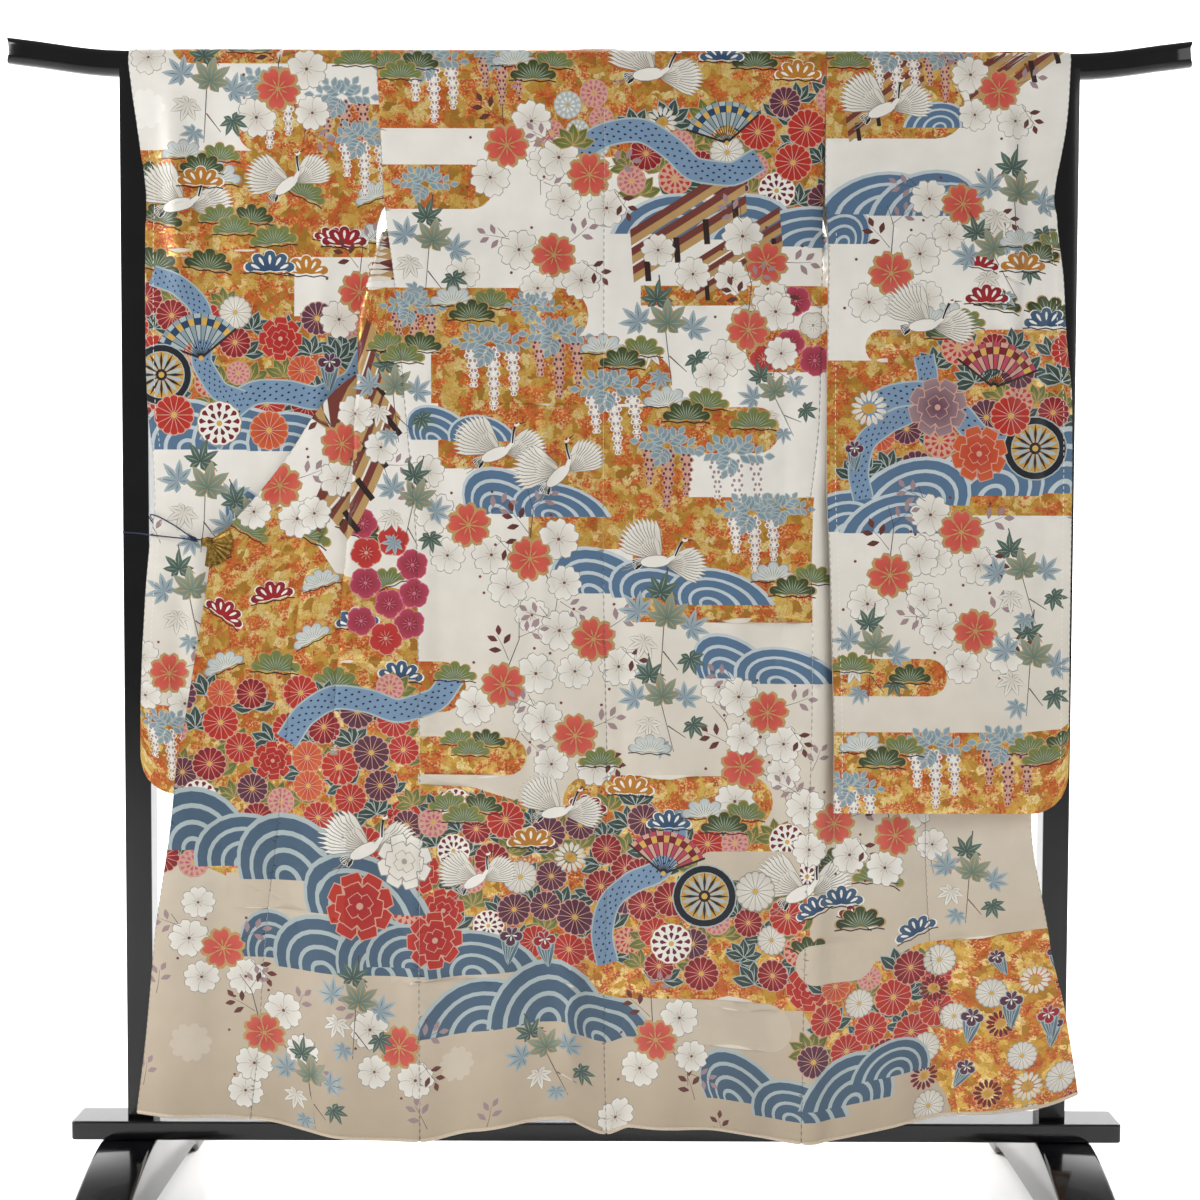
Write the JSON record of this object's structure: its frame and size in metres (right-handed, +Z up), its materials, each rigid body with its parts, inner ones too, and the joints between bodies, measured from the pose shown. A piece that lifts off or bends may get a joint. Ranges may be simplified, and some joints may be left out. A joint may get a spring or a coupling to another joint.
{
  "type": "furisode on a kimono stand",
  "caption": "Long-sleeved formal kimono hung over the bar of a lacquered stand, back view, fronts spread, hem clear of the floor.",
  "frame": {"origin": "on the floor under the middle of the bar", "axes": "+Z up; X along the bar; -Y is the side that shows the garment's back and faces the viewer"},
  "size_m": [1.72, 0.62, 1.7292],
  "materials": {
    "silk": "dyed crepe silk with gold leaf, soft sheen",
    "lacquer": "polished black lacquer on wood",
    "gilt": "gilt pressed brass",
    "elastic": "braided navy elastic cord"
  },
  "bodies": {
    "root": {"back_left": "silk", "back_right": "silk", "front_left": "silk", "front_right": "silk", "okumi_left": "silk", "okumi_right": "silk", "collar": "silk", "sleeve_left": "silk", "sleeve_right": "silk", "bar": "lacquer", "post_left": "lacquer", "post_right": "lacquer", "foot_board": "lacquer", "foot_left": "lacquer", "foot_right": "lacquer", "fan_clip": "gilt", "clip_cord": "elastic"}
  },
  "joints": []
}
